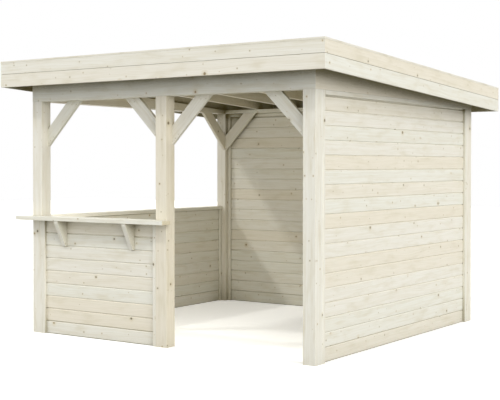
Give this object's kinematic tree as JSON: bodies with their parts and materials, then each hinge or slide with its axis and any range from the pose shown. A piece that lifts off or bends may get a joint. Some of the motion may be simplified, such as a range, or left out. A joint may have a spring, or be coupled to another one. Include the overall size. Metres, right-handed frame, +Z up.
{
  "type": "garden bar",
  "caption": "Open timber garden bar with a lean-to roof, boarded back and right walls, low walls carrying an L-shaped counter, and an open doorway bay.",
  "frame": {"origin": "on the ground, in the middle of the roof's plan", "axes": "+X to the right along the front, +Y from the front to the back, +Z up"},
  "size_m": [3.606, 3.554, 2.6051],
  "materials": {
    "post_spruce": "planed, untreated, upright grain",
    "beam_spruce": "planed, untreated, grain along the beam",
    "brace_spruce": "planed, untreated, sawn ends",
    "roof_spruce": "planed, untreated",
    "fascia_spruce": "planed, untreated, level grain",
    "batten_spruce": "planed, untreated",
    "board_spruce": "planed, untreated, level grain with small knots",
    "counter_spruce": "planed, untreated",
    "roofing_felt": "mineral-faced roofing felt",
    "edge_trim": "cream powder-coated folded sheet"
  },
  "bodies": {
    "root": {"post_front_left": "post_spruce", "post_front_middle": "post_spruce", "post_front_right": "post_spruce", "post_back_left": "post_spruce", "post_back_right": "post_spruce", "beam_front": "beam_spruce", "beam_back": "beam_spruce", "beam_left": "beam_spruce", "beam_right": "beam_spruce", "brace_front_left": "brace_spruce", "brace_middle_left": "brace_spruce", "brace_middle_right": "brace_spruce", "brace_front_right": "brace_spruce", "brace_side_left": "brace_spruce", "brace_back_left": "brace_spruce", "brace_back_right": "brace_spruce", "rafter_1": "roof_spruce", "rafter_2": "roof_spruce", "rafter_3": "roof_spruce", "rafter_4": "roof_spruce", "rafter_5": "roof_spruce", "rafter_6": "roof_spruce", "rafter_7": "roof_spruce", "rafters_verge": "roof_spruce", "roof_deck": "roof_spruce", "roof_felt": "roofing_felt", "roof_trim": "edge_trim", "fascia_front": "fascia_spruce", "fascia_back": "fascia_spruce", "fascia_left": "fascia_spruce", "fascia_right": "fascia_spruce", "back_wall": "board_spruce", "right_wall": "board_spruce", "front_low_wall": "board_spruce", "left_low_wall": "board_spruce", "back_wall_battens": "batten_spruce", "right_wall_battens": "batten_spruce", "front_low_wall_battens": "batten_spruce", "left_low_wall_battens": "batten_spruce", "counter_front": "counter_spruce", "counter_left": "counter_spruce", "bracket_front_1": "counter_spruce", "bracket_front_2": "counter_spruce", "brackets_left": "counter_spruce"}
  },
  "joints": []
}
